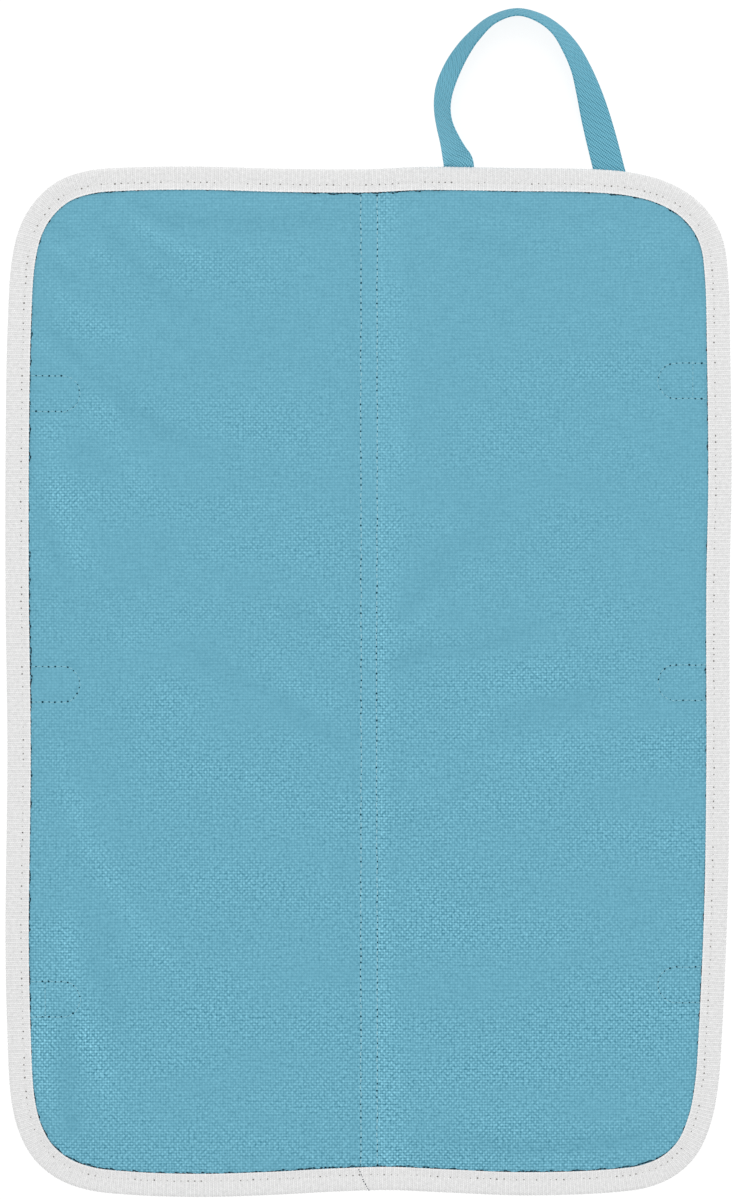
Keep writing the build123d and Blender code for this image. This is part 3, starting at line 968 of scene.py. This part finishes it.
cords = maths(tree, "COSINE", maths(tree, "MULTIPLY", across, 2 * math.pi / BUMP_ACROSS))
bumps = maths(tree, "MULTIPLY", cords, bumps)
weave = maths(tree, "MULTIPLY_ADD", twill, 0.40, maths(tree, "MULTIPLY", bumps, 1.0))
edge_of = maths(tree, "MULTIPLY_ADD", maths(tree, "ABSOLUTE", parts.outputs["X"]), 1000.0, -8.4)
edge_of = maths(tree, "MINIMUM", maths(tree, "MAXIMUM", edge_of, 0.0), 1.0)
shade = maths(tree, "MULTIPLY_ADD", weave, 0.42, 0.95)
shade = maths(tree, "MULTIPLY_ADD", edge_of, -0.14, shade)
# painted light makes the strap paler at the near foot, and painted shade darkens it round the turn
painted_foot_light = maths(tree, "MULTIPLY_ADD", parts.outputs["Y"], -1 / FOOT_FADE, FOOT_END / FOOT_FADE)
painted_foot_light = maths(tree, "MINIMUM", maths(tree, "MAXIMUM", painted_foot_light, 0.0), 1.0)
shade = maths(tree, "MULTIPLY_ADD", painted_foot_light, 0.14, shade)
turn = maths(tree, "MULTIPLY_ADD", parts.outputs["Y"], 1 / TURN_RUN, -TURN_AT / TURN_RUN)
turn = maths(tree, "MAXIMUM", maths(tree, "SUBTRACT", 1.0, maths(tree, "MULTIPLY", turn, turn)), 0.0)
shade = maths(tree, "MULTIPLY_ADD", turn, -0.11, shade)
shade = maths(tree, "MULTIPLY_ADD", lie.outputs["Fac"], 0.10, shade)
tint(tree, shader, shade, WEBBING_COLOUR, YARN_TINT)
bump = tree.nodes.new("ShaderNodeBump")
bump.inputs["Distance"].default_value = 0.0002
tree.links.new(weave, bump.inputs["Height"])
tree.links.new(bump.outputs["Normal"], shader.inputs["Normal"])
shader.inputs["Roughness"].default_value = 0.62
shader.inputs["Specular IOR Level"].default_value = 0.2
strap = mesh_object("carry_strap", points.reshape(-1, 3), [tuple(q) for q in quads] + ends, webbing_blue)
give_flat_map(strap, flat.reshape(-1, 2))
face_outwards(strap)
strap.data.set_sharp_from_angle(angle=math.radians(70))
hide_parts("handle_loop", "handle_tail_inner", "handle_tail_outer")
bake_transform(strap)

# The binding: white ribbed tape folded over the cut edge all round and sewn through.
# It is one length; its ends lap on a slant at the near end of the fold. It is cut here where
# the fold crosses it.
TAPE_COLOUR = (0.80, 0.80, 0.80)
TAPE_THICKNESS = 0.00055
TAPE_FACE = 0.00172
TAPE_LEAST = 0.00145
TAPE_ROW = 0.0098
TAPE_CORNER = 0.0022
RIB_PITCH = 0.00238
RIB_STEP = RIB_PITCH / 4
RIB_RELIEF = 0.00007
YARN_PITCH = 0.0014
RIB_TOOTH = 0.00042
SELVEDGE_TOOTH = 0.0002
SELVEDGE = 0.0011
LAP_SLANT = 0.44
LAP_LENGTH = 0.014
LAP_RISE = 0.00045

tape_white, shader = new_material("ribbed_tape")
tree = tape_white.node_tree
uv = tree.nodes.new("ShaderNodeUVMap")
uv.uv_map = "flat"
parts = tree.nodes.new("ShaderNodeSeparateXYZ")
tree.links.new(uv.outputs["UV"], parts.inputs[0])
lie = tree.nodes.new("ShaderNodeTexNoise")
lie.inputs["Scale"].default_value = 110.0
tree.links.new(uv.outputs["UV"], lie.inputs["Vector"])
bent = maths(tree, "MULTIPLY_ADD", lie.outputs["Fac"], 0.0006, parts.outputs["X"])
ribs = maths(tree, "COSINE", maths(tree, "MULTIPLY", bent, 2 * math.pi / RIB_PITCH))
yarns = maths(tree, "COSINE", maths(tree, "MULTIPLY", parts.outputs["Y"], 2 * math.pi / YARN_PITCH))
fine = maths(tree, "COSINE", maths(tree, "MULTIPLY", bent, 4 * math.pi / RIB_PITCH))
grain = maths(tree, "MULTIPLY", ribs, 0.55)
grain = maths(tree, "MULTIPLY_ADD", maths(tree, "MULTIPLY", ribs, yarns), 0.6, grain)
grain = maths(tree, "MULTIPLY_ADD", fine, 0.7, grain)
fuzz = tree.nodes.new("ShaderNodeTexNoise")
fuzz.inputs["Scale"].default_value = 480.0
fuzz.inputs["Detail"].default_value = 4.0
tree.links.new(uv.outputs["UV"], fuzz.inputs["Vector"])
# a painted highlight along the tape's raised inner edge, the selvedge
rim = maths(tree, "DIVIDE", parts.outputs["Y"], SELVEDGE)
rim = maths(tree, "MAXIMUM", maths(tree, "SUBTRACT", 1.25, maths(tree, "MULTIPLY", rim, rim)), 0.0)
rim = maths(tree, "MINIMUM", rim, 1.0)
shade = maths(tree, "MULTIPLY_ADD", grain, 0.098, 0.818)
shade = maths(tree, "MULTIPLY_ADD", fuzz.outputs["Fac"], 0.34, shade)
shade = maths(tree, "MULTIPLY_ADD", rim, 0.09, shade)
tint(tree, shader, shade, TAPE_COLOUR, (1.0, 1.0, 1.0))
bump = tree.nodes.new("ShaderNodeBump")
bump.inputs["Distance"].default_value = 0.0001
tree.links.new(maths(tree, "MULTIPLY_ADD", fuzz.outputs["Fac"], 1.2, grain), bump.inputs["Height"])
tree.links.new(bump.outputs["Normal"], shader.inputs["Normal"])
shader.inputs["Roughness"].default_value = 0.8
shader.inputs["Specular IOR Level"].default_value = 0.2
shader.inputs["Sheen Weight"].default_value = 0.05


def tape_line():
    """The cut edge in steps of a quarter rib: points and directions inwards."""
    line = smooth_line(np.vstack([edge, edge[:1]])[::4], RIB_STEP, closed=True)[:-1]
    ahead = np.roll(line, -2, axis=0) - np.roll(line, 2, axis=0)
    ahead /= np.linalg.norm(ahead, axis=1)[:, None]
    return line, np.column_stack([ahead[:, 1], -ahead[:, 0]])


def tape_height(inset, s, x, near_end, rib):
    """How far the tape's outer face stands from the middle of the pad, at each inset."""
    puff = 0.00012 * np.sin(np.clip(inset / TAPE_ROW, 0, 1) * math.pi)
    pull = 0.00028 * np.exp(-(((inset - TAPE_ROW) / 0.0013) ** 2))
    drawn = 0.0003 * np.exp(-((x / 0.006) ** 2))
    lip = 0.0003 + 0.00018 * np.sin(s * 61) + 0.00012 * np.sin(s * 147 + 2)
    lip = lip * np.clip((inset - 0.0108) / 0.0037, 0, 1) ** 2
    bead = 0.00012 * np.clip((inset - TAPE_WIDTH) / SELVEDGE + 1.3, 0, 1)
    lapped = np.clip((x + LAP_SLANT * inset) / 0.0007 + 0.5, 0, 1)
    lapped = lapped * np.clip(1.5 - 1.5 * x / LAP_LENGTH, 0, 1)
    height = np.maximum(TAPE_FACE + puff - pull - drawn, TAPE_LEAST) + lip + bead
    return height + LAP_RISE * lapped * near_end + rib * RIB_RELIEF


tape_edge, tape_inward = tape_line()
OUTER_STEPS = np.array([14.5, 14.0, 13.3, 12.4, 11.3, 10.5, 9.8, 9.1, 7.4, 5.5, 3.7, 2.2]) / 1000
INNER_STEPS = OUTER_STEPS[[0, 4, 6, 9, 11]]
for half_name, side in (("right", 1), ("left", -1)):
    chosen = np.nonzero(side * tape_edge[:, 0] > 0.0003)[0]
    stations = [(*tape_edge[i], *tape_inward[i], i) for i in chosen]
    for end, where in ((0, 0), (-1, len(stations))):
        px, py, nx, ny, i = stations[end]
        stations.insert(where, (0.0, py, 0.0, math.copysign(1.0, PAD_Y - py), i + (1 if end else -1)))
    points, flat, row_points = [], [], {1: [], -1: []}
    for px, py, nx, ny, i in stations:
        s, rib = i * RIB_STEP, math.cos(i * math.pi / 2) * (0.65 + 0.35 * math.sin(i * 0.9))
        near_end = py < PAD_Y - 0.2
        loop = []
        for steps, lining, turns in ((OUTER_STEPS.copy(), 0.0, 9), (INNER_STEPS, TAPE_THICKNESS, 4)):
            steps[0] = TAPE_WIDTH + (0.0 if lining else rib * SELVEDGE_TOOTH)
            reach = px + nx * steps
            height = tape_height(steps, s, reach, near_end, 0 if lining else rib) - lining
            corner = TAPE_CORNER - lining * 0.7
            round_edge = []
            for t in np.linspace(math.pi / 2, -math.pi / 2, turns + 2)[1:-1]:
                out = TAPE_CORNER - (corner + (0 if lining else rib * RIB_TOOTH / 2)) * math.cos(t)
                round_edge.append((out, height[-1] * math.sin(t)))
            face = list(zip(steps, height))
            whole = face + round_edge + [(d, -z) for d, z in face[::-1]]
            loop += whole[::-1] if lining else whole
        for k, (d, z) in enumerate(loop):
            x = px + nx * d
            points.append((x if side * x > 0 else 0.0, py + ny * d, MIDDLE + z))
            flat.append((s, max(0.0, TAPE_WIDTH - d)))
        if abs(px) > 0.0012:
            row_z = tape_height(np.array([TAPE_ROW]), s, np.array([px]), near_end, 0)[0]
            for up in (1, -1):
                row_points[up].append((px + nx * TAPE_ROW, py + ny * TAPE_ROW, MIDDLE + up * row_z))
    index, quads = tube_cells(len(stations), len(loop))
    faces = [tuple(q) for q in quads] + [tuple(index[0]), tuple(index[-1][::-1])]
    tape = mesh_object(f"{half_name}_tape", points, faces, tape_white)
    give_flat_map(tape, flat)
    face_outwards(tape, split_ends=True)
    tape.data.set_sharp_from_angle(angle=math.radians(60))
    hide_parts(f"{half_name}_binding", "spine_binding_top", "spine_binding_bottom")
    fold_blend(tape)

    # its own row of stitching, through the tape on both faces
    rows = [np.array(row_points[up]) for up in (1, -1)]
    row = sew(f"{half_name}_tape_stitches", rows, white_thread, grey_pinhole_shade, 31 + side,
              pitch=0.0041, stitch_length=0.0031, thread_width=0.0006, thread_height=0.0004,
              pinhole=0.0011, wander=0.0003, least_pinhole=0.15)
    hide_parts(f"{half_name}_binding_stitching")
    fold_blend(row)

# Painted shadow: dark dashes along the tape's inner edge stand for the shade in the gap where the
# tape's edge lifts off the cloth. It shows most along the left edge, and in the lap, where the
# tape's cut end doesn't lie flat.
SHADOW_REACH = -0.00012
SHADOW_SWAY = ((37, 0.00022, 1), (91, 0.0002, 0), (410, 0.00026, 2), (733, 0.0002, 4))
LAP_INSETS = np.linspace(0.0128, 0.0012, 8)
painted_gap_shadow = pinhole_shade_material("painted_gap_shadow", (0.010, 0.028, 0.045))
for half_name, side in (("right", 1), ("left", -1)):
    chosen = np.nonzero(side * tape_edge[:, 0] > 0.001)[0][::2]
    s = chosen * RIB_STEP
    reach = SHADOW_REACH + sum(sway * np.sin(s * turn + start) for turn, sway, start in SHADOW_SWAY)
    px, py = tape_edge[chosen].T
    reach += 0.0004 * (px < -0.2) * np.exp(-(((py - PAD_Y - 0.05) / 0.11) ** 2))
    reach += 0.0004 * (py > PAD_Y) * np.exp(-(((px + 0.012) / 0.032) ** 2)) + 0.0003 * (py < PAD_Y - 0.28)
    reach -= 0.0003 * (px > 0.2) + 0.0003 * ((py > PAD_Y + 0.3) & (px < -0.05))
    x, y = (tape_edge[chosen] + tape_inward[chosen] * (TAPE_WIDTH + reach)[:, None]).T
    rows = [on_face(x, y, up, 0.0002) for up in (1, -1)]
    if side < 0:
        near_y = edge[np.argmin(np.abs(edge[:, 0]) + (edge[:, 1] > PAD_Y)), 1]
        # painted shadow dashes in the gap under the lap's lifted end
        x, y = -LAP_SLANT * LAP_INSETS - 0.0004, near_y + LAP_INSETS
        z = tape_height(LAP_INSETS, 0.0, x - 0.001, True, 0)
        lap_shadow_row = [np.column_stack([x, y, MIDDLE + z + 0.0001])]
        lap = sew("left_lap_shadow", lap_shadow_row, painted_gap_shadow, painted_gap_shadow, 5, pitch=0.0029, stitch_length=0.0009,
                  thread_width=0.0006, thread_height=0.0004, pinhole=0.0011, wander=0.0003,
                  least_pinhole=0.3)
        fold_blend(lap)
    # painted shadow dashes along the tape's inner edge
    lining = sew(f"{half_name}_tape_gap_shadow", rows, painted_gap_shadow, painted_gap_shadow, 41 + side, pitch=0.0024,
                 stitch_length=0.0019, thread_width=0.0009, thread_height=0.0004, pinhole=0.0009,
                 wander=0.0003, least_pinhole=0.2)
    fold_blend(lining)
